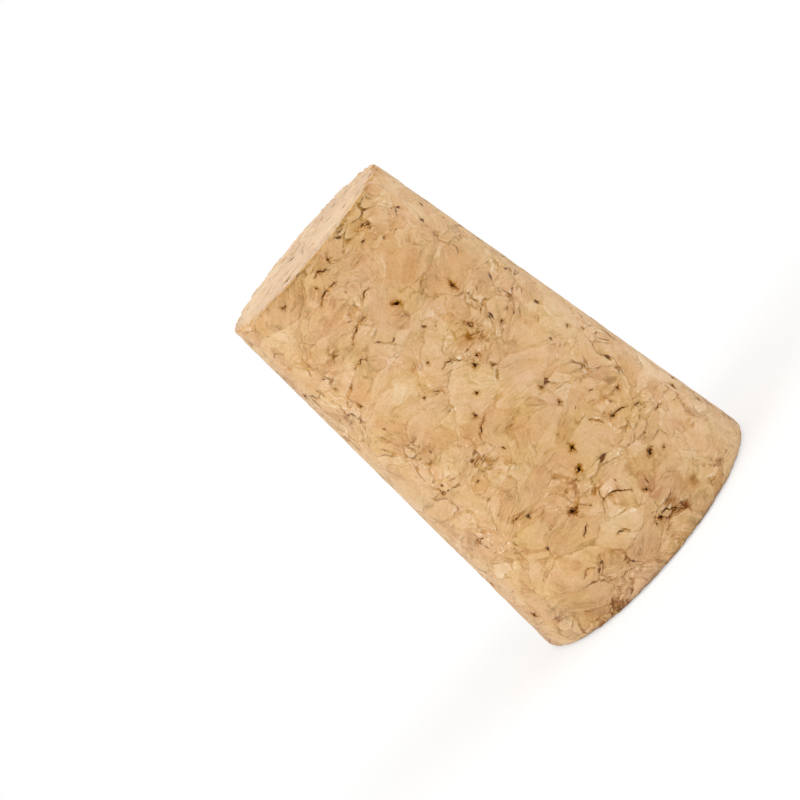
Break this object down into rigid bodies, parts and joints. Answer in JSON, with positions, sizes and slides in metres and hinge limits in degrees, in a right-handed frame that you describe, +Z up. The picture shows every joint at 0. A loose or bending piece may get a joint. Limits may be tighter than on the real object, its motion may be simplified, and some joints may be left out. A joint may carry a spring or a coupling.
{
  "type": "cork stopper",
  "caption": "Tapered stopper of agglomerated cork granules, flat at both ends, pushed by its narrow end into a neck or bung hole.",
  "frame": {"origin": "centre of the wide end's flat face, on which the stopper stands", "axes": "+Z up the stopper's axis from the wide end to the narrow end, +X and +Y across it"},
  "size_m": [0.0247, 0.0248, 0.038],
  "materials": {
    "cork": "bare, fine-ground agglomerated cork"
  },
  "bodies": {
    "root": {"stopper": "cork"}
  },
  "joints": []
}
